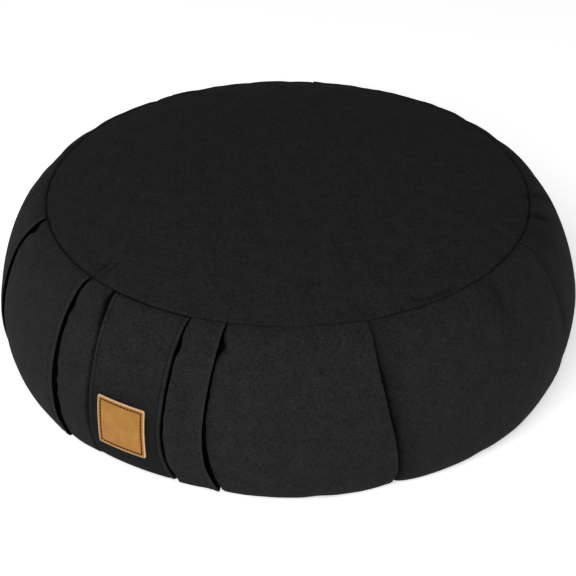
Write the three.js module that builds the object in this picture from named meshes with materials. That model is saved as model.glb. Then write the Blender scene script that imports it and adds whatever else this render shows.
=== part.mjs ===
// Round meditation cushion of black cotton. One filled solid has a crowned top panel, a knife-pleated side
// and a flat base. A carry strap of the same cloth is sewn into both seams at the front, with a plain leather
// patch on it. Millimetres, +Z up: the origin is on the floor under the middle, and the strap faces -Y.
import * as THREE from 'three';

// Cushion form
const HEIGHT = 130;
const BELLY_RADIUS = 201.5;
const BELLY_HEIGHT = 40;
const SEAM_RADIUS = 167;
const SEAM_HEIGHT = 114;
const FOOT_RADIUS = 189;
const CROWN_POWER = 3.2;
const SHOULDER_POWER = 1.66;
const FOOT_POWER = 2.2;
const PUFF_SPREAD = 0.6;
const SETTLED = { azimuth: -60, amount: 1.4 };

// Seams: the panels dip to a sewn line, and the folds' gaps run on into it
const SEAM_WIDTH = 6;
const SEAM_DEPTH = 3;
const SEAM_DIP_SHARE = 0.45;

// Carry strap and patch
const STRAP = { azimuth: -88.9, width: 58, thickness: 2.5, sink: 1.7 };
const LEFT_GAP = { opens: 0.3, closes: 0.75 };
const PATCH = { azimuth: -90, size: 37, thickness: 1.6, corner: 1.2, below_belly: 3 };
const CLEARANCE = 0.3;

// Mesh steps
const SIDE_ROWS = 15;
const WIDEST_STEP = 6;
const CLOSEST_COLUMNS = 2.2;
const SHARP_WITHIN = 3;
const STRAP_COLUMNS = 4;
const STRAP_END_ROW = 0.6;
const PANEL_RINGS = [
  { share: 0.3, points: 12 },
  { share: 0.6, points: 30 },
  { share: 0.82, points: 60 },
];
const BASE_RINGS = [
  { share: 0.72, points: 40 },
  { share: 0.4, points: 12 },
  { share: 0.15, points: 3 },
];

// A row for each knife fold, in order of azimuth. Its edge faces the way that azimuth grows. Degrees at the
// top seam, the belly and the foot; mm that the edge stands proud; depth of the gap behind it at those three
// heights; and the puff of the cloth from this fold to the next.
const FOLDS = [
  { top: -136, belly: -135.9, foot: -135.6, lift: 1.6, gap_top: 8, gap_belly: 7, gap_foot: 5, puff: 0.6 },
  { top: -107.9, belly: -107.6, foot: -107.2, lift: 1.9, gap_top: 7, gap_belly: 8, gap_foot: 6, puff: 0 },
  { top: -71.2, belly: -73.1, foot: -70.2, lift: 1.9, gap_top: 9, gap_belly: 8, gap_foot: 6, puff: 3.4 },
  { top: -39.9, belly: -38.4, foot: -36.9, lift: 2.6, gap_top: 6, gap_belly: 6, gap_foot: 4, puff: 2.8 },
  { top: 8.6, belly: 11.2, foot: 12, lift: 1.8, gap_top: 8, gap_belly: 6, gap_foot: 5, puff: 1.4 },
  { top: 45, belly: 44, foot: 43.4, lift: 1.5, gap_top: 6, gap_belly: 7, gap_foot: 6, puff: 1.2 },
  { top: 81.5, belly: 82, foot: 82.6, lift: 1.5, gap_top: 8, gap_belly: 7, gap_foot: 5, puff: 1.4 },
  { top: 116, belly: 117.4, foot: 117, lift: 1.6, gap_top: 7, gap_belly: 6, gap_foot: 6, puff: 2.2 },
  { top: 153, belly: 152, foot: 151.2, lift: 1.9, gap_top: 7, gap_belly: 8, gap_foot: 5, puff: 1.8 },
  { top: 188.6, belly: 189, foot: 189.5, lift: 1.6, gap_top: 8, gap_belly: 6, gap_foot: 6, puff: 1.0 },
];

// Section across a fold: mm past its edge, and the shares of its lift and of its gap's depth there
const FOLD_SECTION = [
  { past: -24, lift: 0, gap: 0 },
  { past: -10, lift: 0.55, gap: 0 },
  { past: -2.5, lift: 1, gap: 0 },
  { past: 0, lift: 0.7, gap: 0.08 },
  { past: 0.8, lift: 0, gap: 1 },
  { past: 2.6, lift: 0, gap: 0.4 },
  { past: 9, lift: 0, gap: 0.16 },
  { past: 20, lift: 0, gap: 0 },
];

// Section beside the strap: mm past its edge, and how deep the side lies there on the right, where the strap
// stands off it, less so at the foot, and on the left, where it does so only near the top, between the shares
// of the way from the seam to the belly that LEFT_GAP gives
const STRAP_SECTION = [
  { past: 1.2, right: 8.5, right_foot: 5, left_top: 8, left: 4.4 },
  { past: 4, right: 3.2, right_foot: 2, left_top: 3, left: 1.8 },
  { past: 10, right: 1.3, right_foot: 0.6, left_top: 1.2, left: 0.9 },
  { past: 22, right: 0, right_foot: 0, left_top: 0, left: 0 },
];

const rad = THREE.MathUtils.degToRad;
const deg = THREE.MathUtils.radToDeg;
const { lerp, smoothstep } = THREE.MathUtils;

// The side's profile from the top seam over the shoulder to the belly, down to the foot and in under it
class SideProfile extends THREE.Curve {
  getPoint(t, target = new THREE.Vector3()) {
    const leg = Math.min(2, Math.floor(t * 3));
    const along = t * 3 - leg;
    const sine = Math.sin((along * Math.PI) / 2);
    const cosine = Math.max(0, Math.cos((along * Math.PI) / 2));
    if (leg === 0) {
      const bend = 2 / SHOULDER_POWER;
      const radius = lerp(SEAM_RADIUS, BELLY_RADIUS, sine ** bend);
      return target.set(radius, 0, lerp(BELLY_HEIGHT, SEAM_HEIGHT, cosine ** bend));
    }
    if (leg === 1) {
      const bend = 2 / FOOT_POWER;
      const radius = lerp(FOOT_RADIUS, BELLY_RADIUS, cosine ** bend);
      return target.set(radius, 0, lerp(BELLY_HEIGHT, 0, sine ** bend));
    }
    return target.set(lerp(FOOT_RADIUS, SEAM_RADIUS, along), 0, 0);
  }
}

const profile = new SideProfile();
const profileLengths = profile.getLengths();
const LENGTH = profile.getLength();
const BELLY_AT = profileLengths[Math.round(profileLengths.length / 3)] / LENGTH;
const FOOT_AT = profileLengths[Math.round((profileLengths.length * 2) / 3)] / LENGTH;

const polar = (radius, azimuth, height) =>
  new THREE.Vector3(radius * Math.cos(rad(azimuth)), radius * Math.sin(rad(azimuth)), height);

// A point at an azimuth and a share of the profile's length, moved out along the profile's normal
function onSide(azimuth, at, outward) {
  const point = profile.getPointAt(at);
  const tangent = profile.getTangentAt(at);
  const height = Math.max(0, point.z + outward * tangent.x);
  return polar(point.x - outward * tangent.z, azimuth, height);
}

// A value that is given at the top seam, the belly and the foot, at a share of the profile's length
function byHeight(top, belly, foot, at) {
  if (at < BELLY_AT) return lerp(top, belly, at / BELLY_AT);
  return lerp(belly, foot, Math.min(1, (at - BELLY_AT) / (FOOT_AT - BELLY_AT)));
}

// Interpolates one column of a section table at a distance past the edge
function fromSection(section, column, past) {
  const next = section.findIndex((row) => row.past >= past);
  if (next < 0) return 0;
  if (next === 0) return section[0].past === past ? section[0][column] : 0;
  const before = section[next - 1];
  const after = section[next];
  return lerp(before[column], after[column], (past - before.past) / (after.past - before.past));
}

const wrapped = (degrees) => THREE.MathUtils.euclideanModulo(degrees + 180, 360) - 180;
const arcLength = (degrees) => rad(wrapped(degrees)) * BELLY_RADIUS;
const STRAP_HALF = STRAP.width / 2;
const STRAP_HALF_ANGLE = deg(STRAP_HALF / BELLY_RADIUS);
const ON_EDGE = 0.01;

// Where a column that has one azimuth at the belly lies at another height: folds lean by their table, and
// the strap keeps its width
function leaningAzimuth(azimuth, at) {
  const radius = profile.getPointAt(at).x;
  const strapLean = deg(STRAP_HALF / radius) - STRAP_HALF_ANGLE;
  const leans = FOLDS.map((fold) => ({
    belly: fold.belly,
    lean: byHeight(fold.top, fold.belly, fold.foot, at) - fold.belly,
  }));
  leans.push({ belly: STRAP.azimuth - STRAP_HALF_ANGLE, lean: -strapLean });
  leans.push({ belly: STRAP.azimuth + STRAP_HALF_ANGLE, lean: strapLean });
  leans.sort((a, b) => a.belly - b.belly);
  leans.unshift({ ...leans.at(-1), belly: leans.at(-1).belly - 360 });
  leans.push({ ...leans[1], belly: leans[1].belly + 360 });
  const next = leans.findIndex((row) => row.belly >= azimuth);
  const before = leans[next - 1];
  const after = leans[next];
  const share = (azimuth - before.belly) / (after.belly - before.belly);
  return azimuth + lerp(before.lean, after.lean, share);
}

// The strap's outer face lies a little inside the side's round form, and level with the base under the foot
const strapFace = (at) => -STRAP.sink * (1 - smoothstep(at, BELLY_AT, FOOT_AT));

// How far the side stands out of its round form at a column and a height
function sideRelief(azimuth, at) {
  const fromStrap = arcLength(azimuth - STRAP.azimuth);
  const pastStrap = Math.abs(fromStrap) - STRAP_HALF;
  if (pastStrap < ON_EDGE) return strapFace(at) - STRAP.thickness - CLEARANCE;
  const nearTop = 1 - smoothstep(at / BELLY_AT, LEFT_GAP.opens, LEFT_GAP.closes);
  const nearFoot = smoothstep(at, BELLY_AT, FOOT_AT);
  const beside = (column) => fromSection(STRAP_SECTION, column, pastStrap);
  const leftDip = lerp(beside('left'), beside('left_top'), nearTop);
  const rightDip = lerp(beside('right'), beside('right_foot'), nearFoot);
  const upright = Math.sin(Math.PI * at) ** PUFF_SPREAD;
  let relief = fromStrap > 0 ? -rightDip : -leftDip;
  relief += SETTLED.amount * Math.cos(rad(azimuth - SETTLED.azimuth)) * upright;
  FOLDS.forEach((fold, index) => {
    const past = arcLength(azimuth - fold.belly);
    const depth = byHeight(fold.gap_top, fold.gap_belly, fold.gap_foot, at);
    relief += fold.lift * fromSection(FOLD_SECTION, 'lift', past);
    relief -= depth * fromSection(FOLD_SECTION, 'gap', past);
    const next = FOLDS[(index + 1) % FOLDS.length];
    const span = wrapped(next.belly - fold.belly);
    const across = wrapped(azimuth - fold.belly) / span;
    if (across > 0 && across < 1) relief += fold.puff * Math.sin(Math.PI * across) * upright;
  });
  return relief;
}

// Columns round the side: the fold sections and the strap first, then even steps across the cloth between
function sideColumns() {
  const columns = [];
  const first = (FOLDS.at(-1).belly - 360 + FOLDS[0].belly) / 2;
  const add = (azimuth, always) => {
    const angle = THREE.MathUtils.euclideanModulo(azimuth - first, 360) + first;
    const clear = columns.every((other) => Math.abs(arcLength(other - angle)) >= CLOSEST_COLUMNS);
    if (always || clear) columns.push(angle);
  };
  const place = (section, edge, direction) => {
    for (const { past } of section) {
      add(edge + direction * deg(past / BELLY_RADIUS), Math.abs(past) < SHARP_WITHIN);
    }
  };
  for (let step = 0; step <= STRAP_COLUMNS; step++) {
    add(STRAP.azimuth + STRAP_HALF_ANGLE * ((2 * step) / STRAP_COLUMNS - 1), true);
  }
  for (const fold of FOLDS) place(FOLD_SECTION, fold.belly, 1);
  for (const side of [-1, 1]) place(STRAP_SECTION, STRAP.azimuth + side * STRAP_HALF_ANGLE, side);
  columns.sort((a, b) => a - b);
  const filled = [];
  columns.forEach((azimuth, index) => {
    const next = index + 1 < columns.length ? columns[index + 1] : columns[0] + 360;
    const steps = Math.ceil((next - azimuth) / WIDEST_STEP);
    for (let step = 0; step < steps; step++) filled.push(lerp(azimuth, next, step / steps));
  });
  return filled;
}

// Joins two rings of points, each in order of azimuth, with the upper one nearer the top
function joinRings(triangles, upper, lower) {
  const turn = (ring, index) => ring[index % ring.length].turn + 360 * Math.floor(index / ring.length);
  const id = (ring, index) => ring[index % ring.length].id;
  let i = 0;
  let j = 0;
  while (i < upper.length || j < lower.length) {
    const upperNext = i < upper.length && upper.length > 1 ? turn(upper, i + 1) : Infinity;
    const lowerNext = j < lower.length && lower.length > 1 ? turn(lower, j + 1) : Infinity;
    if (upperNext === Infinity && lowerNext === Infinity) break;
    if (upperNext < lowerNext) {
      triangles.push(id(upper, i), id(lower, j), id(upper, i + 1));
      i += 1;
    } else {
      triangles.push(id(upper, i), id(lower, j), id(lower, j + 1));
      j += 1;
    }
  }
}

function toGeometry(points, triangles) {
  const geometry = new THREE.BufferGeometry().setFromPoints(points);
  geometry.setIndex(triangles);
  geometry.computeVertexNormals();
  return geometry;
}

// The filled body, ring by ring from the middle of the top panel down to the middle of the base
function cushionGeometry() {
  const points = [];
  const rings = [];
  const addRing = (members) => {
    rings.push(members.map(({ turn, point }) => ({ turn, id: points.push(point) - 1 })));
  };
  const columns = sideColumns();
  const crown = (radius) => lerp(SEAM_HEIGHT, HEIGHT, 1 - (radius / SEAM_RADIUS) ** CROWN_POWER);
  const flatRing = ({ share, points: count }, height) => {
    const radius = share * SEAM_RADIUS;
    const members = [];
    for (let step = 0; step < count; step++) {
      const turn = columns[0] + (360 * step) / count;
      members.push({ turn, point: polar(radius, turn, height(radius)) });
    }
    addRing(members);
  };
  const seamRing = (at, radius, height, dipShare, up) => {
    addRing(columns.map((azimuth) => {
      const dip = dipShare * Math.max(0, -sideRelief(azimuth, at));
      return { turn: azimuth, point: polar(radius, leaningAzimuth(azimuth, at), height + up * dip) };
    }));
  };
  const innerRadius = SEAM_RADIUS - SEAM_WIDTH / 2;

  addRing([{ turn: columns[0], point: new THREE.Vector3(0, 0, HEIGHT) }]);
  for (const ring of PANEL_RINGS) flatRing(ring, crown);
  seamRing(0, innerRadius, crown(innerRadius), 0, -1);
  seamRing(0, SEAM_RADIUS, SEAM_HEIGHT - SEAM_DEPTH, SEAM_DIP_SHARE, -1);
  for (let row = 0; row < SIDE_ROWS; row++) {
    const at = lerp(SEAM_WIDTH / 2 / LENGTH, 1 - SEAM_WIDTH / 2 / LENGTH, row / (SIDE_ROWS - 1));
    addRing(columns.map((azimuth) => ({
      turn: azimuth,
      point: onSide(leaningAzimuth(azimuth, at), at, sideRelief(azimuth, at)),
    })));
  }
  seamRing(1, SEAM_RADIUS, SEAM_DEPTH, SEAM_DIP_SHARE, 1);
  seamRing(1, innerRadius, 0, 0, 1);
  for (const ring of BASE_RINGS) flatRing(ring, () => 0);

  const triangles = [];
  for (let index = 0; index + 1 < rings.length; index++) joinRings(triangles, rings[index], rings[index + 1]);
  const [a, b, c] = rings.at(-1).map((member) => member.id);
  triangles.push(a, c, b);
  return toGeometry(points, triangles);
}

// A closed sheet between two grids of points, rows running down and columns the way that azimuth grows
function sheetGeometry(rows, columns, outer, inner) {
  const points = [];
  const triangles = [];
  const grid = (place) => {
    const first = points.length;
    for (const row of rows) for (const column of columns) points.push(place(row, column));
    return (r, c) => first + r * columns.length + c;
  };
  const front = grid(outer);
  const back = grid(inner);
  const quad = (a, b, c, d) => triangles.push(a, b, c, a, c, d);
  const lastRow = rows.length - 1;
  const lastColumn = columns.length - 1;
  for (let r = 0; r < lastRow; r++) {
    for (let c = 0; c < lastColumn; c++) {
      quad(front(r, c), front(r + 1, c), front(r + 1, c + 1), front(r, c + 1));
      quad(back(r, c), back(r, c + 1), back(r + 1, c + 1), back(r + 1, c));
    }
    quad(front(r, 0), back(r, 0), back(r + 1, 0), front(r + 1, 0));
    quad(front(r, lastColumn), front(r + 1, lastColumn), back(r + 1, lastColumn), back(r, lastColumn));
  }
  for (let c = 0; c < lastColumn; c++) {
    quad(front(0, c), front(0, c + 1), back(0, c + 1), back(0, c));
    quad(front(lastRow, c), back(lastRow, c), back(lastRow, c + 1), front(lastRow, c + 1));
  }
  return toGeometry(points, triangles);
}

// The strap lies in its bed in the side from seam to seam
function strapGeometry() {
  const rows = [];
  for (let row = 0; row < SIDE_ROWS; row++) {
    const inset = row === 0 ? STRAP_END_ROW : 0;
    rows.push(lerp(SEAM_WIDTH / 2 / LENGTH, 1 - SEAM_WIDTH / 2 / LENGTH, (row + inset) / (SIDE_ROWS - 1)));
  }
  const columns = [];
  for (let step = 0; step <= STRAP_COLUMNS; step++) {
    columns.push(lerp(-STRAP_HALF, STRAP_HALF, step / STRAP_COLUMNS));
  }
  const place = (outward) => (at, across) => {
    const azimuth = STRAP.azimuth + deg(across / profile.getPointAt(at).x);
    return onSide(azimuth, at, strapFace(at) + outward);
  };
  return sheetGeometry(rows, columns, place(0), place(-STRAP.thickness));
}

// The patch bends with the strap, and its corner points are drawn in to round it
function patchGeometry() {
  const half = PATCH.size / 2;
  const straight = half - PATCH.corner;
  const steps = [-half, -straight, -straight / 3, straight / 3, straight, half];
  const place = (outward) => (down, across) => {
    const atCorner = Math.abs(down) === half && Math.abs(across) === half;
    const drawnIn = atCorner ? (half - PATCH.corner * (1 - Math.SQRT1_2)) / half : 1;
    const at = BELLY_AT + (PATCH.below_belly + down * drawnIn) / LENGTH;
    const azimuth = PATCH.azimuth + deg((across * drawnIn) / profile.getPointAt(at).x);
    return onSide(azimuth, at, strapFace(at) + outward);
  };
  return sheetGeometry(steps, steps, place(CLEARANCE + PATCH.thickness), place(CLEARANCE));
}

const blackCotton = new THREE.MeshStandardMaterial({ color: 0x1c1b1d, roughness: 0.95, metalness: 0 });
const tanLeather = new THREE.MeshStandardMaterial({ color: 0xb08a62, roughness: 0.6, metalness: 0 });

function piece(name, geometry, material) {
  const mesh = new THREE.Mesh(geometry, material);
  mesh.name = name;
  return mesh;
}

const group = new THREE.Group();
group.add(piece('cushion', cushionGeometry(), blackCotton));
group.add(piece('carry_strap', strapGeometry(), blackCotton));
group.add(piece('patch', patchGeometry(), tanLeather));

export default group;
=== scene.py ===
import math

import bpy
import numpy as np
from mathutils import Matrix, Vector


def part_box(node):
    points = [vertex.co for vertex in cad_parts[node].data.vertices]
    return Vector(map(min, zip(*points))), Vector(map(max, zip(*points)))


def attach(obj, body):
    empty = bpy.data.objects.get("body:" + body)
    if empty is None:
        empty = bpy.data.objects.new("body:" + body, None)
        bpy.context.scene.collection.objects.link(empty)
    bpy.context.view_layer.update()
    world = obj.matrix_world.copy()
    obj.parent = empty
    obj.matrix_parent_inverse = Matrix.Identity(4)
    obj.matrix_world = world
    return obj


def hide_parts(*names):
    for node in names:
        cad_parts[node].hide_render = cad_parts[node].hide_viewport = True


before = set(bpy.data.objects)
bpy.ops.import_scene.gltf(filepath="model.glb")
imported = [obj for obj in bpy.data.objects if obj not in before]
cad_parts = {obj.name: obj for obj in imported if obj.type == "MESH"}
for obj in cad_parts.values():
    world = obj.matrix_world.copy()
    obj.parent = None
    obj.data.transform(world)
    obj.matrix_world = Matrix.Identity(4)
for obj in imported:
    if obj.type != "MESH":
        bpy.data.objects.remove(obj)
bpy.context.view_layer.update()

# Filled cushion: a crowned top panel, a side band laid in knife folds and a base panel, all of black
# plain-weave cotton, sewn together along two round seams and filled firm with loose hulls.
# The filling settles low, so the side bulges there, and each fold stands open a little along its edge.
MM = 0.001
cushion_low, cushion_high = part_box("cushion")
HEIGHT = (cushion_high.z - cushion_low.z) / MM
BELLY_RADIUS = 201.5
BELLY_HEIGHT = 40.0
SEAM_RADIUS = 167.0
SEAM_HEIGHT = 114.0
FOOT_RADIUS = 189.0
CROWN_POWER = 3.2
SHOULDER_POWER = 1.66
FOOT_POWER = 2.2
PUFF_SPREAD = 0.6
SETTLED_AZIMUTH = -60.0
SETTLED_BY = 1.4
SEAM_DEPTH = 1.3
SEAM_SPREAD = 0.7

# A row for each knife fold, where it differs from a plain one. line: mm below the top seam and degrees of
# azimuth there, along its edge; lift: mm that the edge stands proud; nose: radius of the edge; under and
# spread: mm that the cloth under the edge lies below the round of the side, and over which it comes up again;
# valley: how much more it dips, softly; shade: how strong the painted shade is in the slot and in the valley;
# puff: of the cloth from here to the next fold; before and after: mm of cloth that the fold shapes; crease:
# depth of the soft crease behind the edge; closed: mm below the seam over which the fold lies shut; drawn_in:
# mm that its edge is drawn in at the foot; ragged: how uneven the slot is; gapes: mm below the seam, mm wider
# and mm of length of each place where it gapes.
PLAIN_FOLD = dict(lift=1.7, nose=0.5, under=3, spread=1, valley=0.4, shade=(1, 0.2), before=24, after=24,
                  crease=0.15, closed=0, drawn_in=0.8, ragged=0.6)
FOLDS = [
    dict(PLAIN_FOLD, valley=0.3, puff=0.6, after=22, gapes=[(11, 3.6, 5), (62, 0.8, 18)],
         line=[(0, -135.6), (12, -135.5), (25, -136.7), (40, -137.1), (80, -136.6), (125, -136.2)]),
    dict(PLAIN_FOLD, lift=1.9, valley=0.2, puff=0, after=11, crease=0.9, ragged=0.8,
         gapes=[(25, 1, 4), (72, 1.4, 4), (84, 1.2, 4), (97, 0.8, 5), (106, 0.5, 12)],
         line=[(0, -106.8), (12, -107.15), (25, -107.5), (60, -107.6), (90, -107.4), (110, -106.7),
               (122, -106)]),
    dict(PLAIN_FOLD, lift=1.8, nose=0.45, under=4.5, spread=0.7, valley=0.3, puff=3.4, before=10,
         crease=0.12, ragged=0.25, gapes=[(17, 3.6, 5), (50, 0.4, 8), (95, 1.1, 20)],
         line=[(0, -70.8), (12, -71.05), (25, -71.5), (40, -72.1), (60, -72.7), (80, -72.9),
               (100, -72.45), (112, -71.55), (122, -70.5)]),
    dict(PLAIN_FOLD, lift=2, nose=1.3, under=1.8, spread=1.8, valley=3, shade=(0.15, 0.3), puff=2.8,
         crease=0.1, drawn_in=2.6, ragged=0.3, gapes=[(42, 0.8, 9), (112, 0.8, 10)],
         line=[(0, -40), (25, -40), (40, -39.8), (60, -38.8), (80, -37.8), (98, -37), (111, -36.5),
               (124, -36.9)]),
    dict(PLAIN_FOLD, lift=1.8, nose=0.7, under=2.4, valley=2.6, shade=(1, 0.3), puff=1.4,
         gapes=[(6, 3, 5)], line=[(0, 8.6), (86, 11.2), (130, 12)]),
    dict(PLAIN_FOLD, under=2.6, valley=0.6, puff=1.2, crease=0.2, closed=42, gapes=[(70, 0.8, 20)],
         line=[(0, 45), (86, 44), (130, 43.4)]),
    dict(PLAIN_FOLD, lift=1.6, spread=0.9, puff=1.4, crease=0.5, closed=42, ragged=0.8,
         gapes=[(64, 2.4, 8)], line=[(0, 81.5), (86, 82), (130, 82.6)]),
    dict(PLAIN_FOLD, nose=0.9, under=2.6, spread=1.2, valley=1.2, puff=2.2, closed=46, ragged=0.4,
         gapes=[(90, 0.8, 16)], line=[(0, 116), (86, 117.4), (130, 117)]),
    dict(PLAIN_FOLD, lift=1.8, spread=0.9, puff=1.8, crease=0.6, closed=40, ragged=0.8,
         gapes=[(58, 2.6, 8)], line=[(0, 153), (86, 152), (130, 151.2)]),
    dict(PLAIN_FOLD, nose=0.6, under=2.6, valley=0.7, puff=1, closed=30, gapes=[(96, 1, 12)],
         line=[(0, 188.6), (86, 189), (130, 189.5)]),
]

# How far the slot runs in under a fold's edge, and over what length the painted shade of the slot and the dip
# past it die out; where the gap beside the strap is deepest; how much a painted highlight lightens the edges
# of folds and of the strap; and the steps between columns and rows of the mesh. All but the highlight are in
# mm.
SLOT = 4.0
PAINTED_SHADE_WIDTH = 0.75
VALLEY_LENGTH = 6.0
GAP_MIDDLE = 0.35
PAINTED_EDGE_HIGHLIGHT = 0.1
PLAIN_STEP = 2.5
ROW_STEP = 1.8
SEAM_ROWS = np.array([0, 0.5, 1.1, 1.8, 2.7, 3.8, 5.2])
PANEL_INSETS = np.concatenate([SEAM_ROWS[1:], [7, 9, 11.5, 14.5, 18, 22, 27]])
PANEL_RINGS = [(134, 240), (126, 240), (117, 240), (107, 240), (96, 90), (84, 90), (70, 90), (56, 90),
               (40, 30), (22, 30), (0, 1)]
SEAM_SHADE = 0.7
SEAM_SHADE_WIDTH = 0.5

# Unevenness that hand sewing and filling leave, in mm: of a fold's edge, of its slot and the bites out of it,
# of the filled side, and of the puckers that both seams draw into the side and the panels
EDGE_WOBBLE = 0.5
SLOT_UNEVEN = 0.3
SLOT_BITE = 1.8
SIDE_SWELL = 0.5
SIDE_PUCKER = 0.5
PANEL_PUCKER = 0.55

# The coarse copy of the cover that the cloth solver swells, and what is carried over from it
SWELL_COLUMNS = 216
SWELL_SIDE_ROWS = 28
SWELL_PANEL_ROWS = 16
SWELL_STEP = 6.5
SWELL_SPARE_CLOTH = 0.006
SWELL_PRESSURE = 16
SWELL_STEPS = 20
SWELL_LIMIT = 1.3

# A row for each small crease or, with a negative depth, ridge: its middle's azimuth and place (mm down the
# side, or less than 0 on the top), degrees that it leans from straight down, half length, half width, depth
CREASES = [
    dict(azimuth=-107.6, place=-12, lean=10, length=8, width=1.6, depth=1.2),
    dict(azimuth=-105.4, place=-14, lean=6, length=9, width=1.6, depth=1.4),
    dict(azimuth=-21.0, place=-4.2, lean=87, length=15, width=1.2, depth=1.9),
    dict(azimuth=-29.5, place=14, lean=-4, length=13, width=2.4, depth=-0.6),
    dict(azimuth=-14.5, place=15, lean=-10, length=11, width=7, depth=-2.0),
    dict(azimuth=-8.5, place=18, lean=-12, length=14, width=5, depth=1.2),
    dict(azimuth=17.0, place=12, lean=20, length=16, width=9, depth=1.3),
    dict(azimuth=24.5, place=9, lean=35, length=14, width=3.4, depth=2.1),
    dict(azimuth=33.0, place=8, lean=33, length=13, width=3.4, depth=2.0),
    dict(azimuth=49.0, place=14, lean=-8, length=12, width=2.6, depth=1.1),
    dict(azimuth=88.0, place=-10, lean=5, length=9, width=2.2, depth=0.9),
    dict(azimuth=121.5, place=16, lean=-6, length=13, width=3, depth=1.2),
    dict(azimuth=147.0, place=-12, lean=-8, length=10, width=2.2, depth=0.9),
    dict(azimuth=157.5, place=15, lean=-5, length=14, width=3, depth=1.1),
    dict(azimuth=194.5, place=13, lean=-6, length=12, width=2.6, depth=1.1),
    dict(azimuth=210.0, place=16, lean=4, length=13, width=3, depth=0.9),
]
# Share of painted shade in a crease for each mm of its depth
CREASE_SHADE = 0.25

# The side under the strap lies in a bed, with a gap beside each edge of the strap, which sways a little. The
# strap's line is given as a fold's is. deep: mm below the seam and depth of the gap there; width: of its far
# wall; lift: mm that the far edge stands proud; gapes: as for a fold
STRAP_LINE = [(0, -88.9), (25, -89.3), (60, -89.6), (82, -89.85), (100, -89.7), (113, -89), (122, -88.5)]
STRAP_WIDTH = 58.0
STRAP_THICKNESS = 2.5
STRAP_SINK = 1.7
STRAP_BED = STRAP_SINK + STRAP_THICKNESS + 0.3
STRAP_GAP_RIGHT = dict(deep=[(0, 12), (86, 12), (130, 8)], width=0.8, lift=0.3,
                       gapes=[(22, 2, 6), (65, 0.9, 45), (97, 1.2, 12), (119, 2.2, 8)])
STRAP_GAP_LEFT = dict(deep=[(0, 12), (22, 11), (40, 5), (130, 3)], width=0.8, lift=0.3,
                      gapes=[(10, 1.9, 12), (75, -0.4, 32)])
STRAP_REACH_RIGHT = 10.0
STRAP_REACH_LEFT = 12.0


def smooth(value, start, end):
    """Eased step from 0 at start to 1 at end."""
    share = np.clip((value - start) / (end - start), 0, 1)
    return share * share * (3 - 2 * share)


def swells(across, along, repeat, seed):
    """Smooth random swells from -1 to 1, one to each whole step; across repeats after `repeat` steps."""
    tall = 64
    lattice = np.random.default_rng(seed).uniform(-1, 1, (repeat, tall))
    across, along = np.broadcast_arrays(across, along)
    i, j = np.floor(across).astype(int), np.floor(along).astype(int)
    u, v = smooth(across - i, 0, 1), smooth(along - j, 0, 1)

    def corner(di, dj):
        return lattice[(i + di) % repeat, (j + dj) % tall]

    near = corner(0, 0) * (1 - u) + corner(1, 0) * u
    far = corner(0, 1) * (1 - u) + corner(1, 1) * u
    return near * (1 - v) + far * v


def side_profile():
    """Distance down the side from the top seam, with the radius and level there, to the base's seam."""
    quarter = np.linspace(0, np.pi / 2, 400)
    rise, fall = np.sin(quarter), np.clip(np.cos(quarter), 0, 1)
    under = np.linspace(FOOT_RADIUS, SEAM_RADIUS, 100)
    radius = np.concatenate([
        SEAM_RADIUS + (BELLY_RADIUS - SEAM_RADIUS) * rise ** (2 / SHOULDER_POWER),
        (FOOT_RADIUS + (BELLY_RADIUS - FOOT_RADIUS) * fall ** (2 / FOOT_POWER))[1:],
        under[1:]])
    level = np.concatenate([
        BELLY_HEIGHT + (SEAM_HEIGHT - BELLY_HEIGHT) * fall ** (2 / SHOULDER_POWER),
        (BELLY_HEIGHT * (1 - rise ** (2 / FOOT_POWER)))[1:],
        0 * under[1:]])
    down = np.concatenate([[0], np.cumsum(np.hypot(np.diff(radius), np.diff(level)))])
    return down, radius, level, down[len(quarter) - 1], down[2 * len(quarter) - 2]


DOWN, RADIUS, LEVEL, BELLY_DOWN, FOOT_DOWN = side_profile()
SIDE_LENGTH = DOWN[-1]
OUT_R, OUT_Z = -np.gradient(LEVEL, DOWN), np.gradient(RADIUS, DOWN)


def on_side(azimuth, down, outward):
    """Points at an azimuth and a distance down the side, moved out along its normal, in metres."""
    azimuth, down, outward = np.broadcast_arrays(azimuth, down, outward)
    inside = np.clip(down, 0, SIDE_LENGTH)
    radius = np.interp(inside, DOWN, RADIUS) + outward * np.interp(inside, DOWN, OUT_R)
    level = np.interp(inside, DOWN, LEVEL) + outward * np.interp(inside, DOWN, OUT_Z)
    turn = np.radians(azimuth)
    points = np.stack([radius * np.cos(turn), radius * np.sin(turn), np.maximum(level, 0)], -1)
    return points * MM


def line_at(line, down):
    """A value at mm below the top seam, on a smooth curve through the points of a line."""
    at, value = np.array(line, float).T
    slope = np.gradient(value, at)
    down = np.clip(down, at[0], at[-1])
    k = np.clip(np.searchsorted(at, down, side="right") - 1, 0, len(at) - 2)
    step = at[k + 1] - at[k]
    t = (down - at[k]) / step
    return (value[k] * (1 + 2 * t) * (1 - t) ** 2 + slope[k] * step * t * (1 - t) ** 2
            + value[k + 1] * t ** 2 * (3 - 2 * t) + slope[k + 1] * step * t ** 2 * (t - 1))


def gap_share(past, reach, width):
    """Depth of the gap beside the strap, as a share, at mm past its edge: a cleft with a rolled far side."""
    cleft = 1 / (1 + (np.maximum(past - GAP_MIDDLE, 0) / width) ** 4.5)
    return cleft * (1 - smooth(past, reach * 0.5, reach))


def far_steps(reach):
    """Places of the columns past an edge, closest together beside it, as mm past the edge."""
    return GAP_MIDDLE + (reach - GAP_MIDDLE) * np.linspace(0.16, 1, 14) ** 2.4


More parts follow.
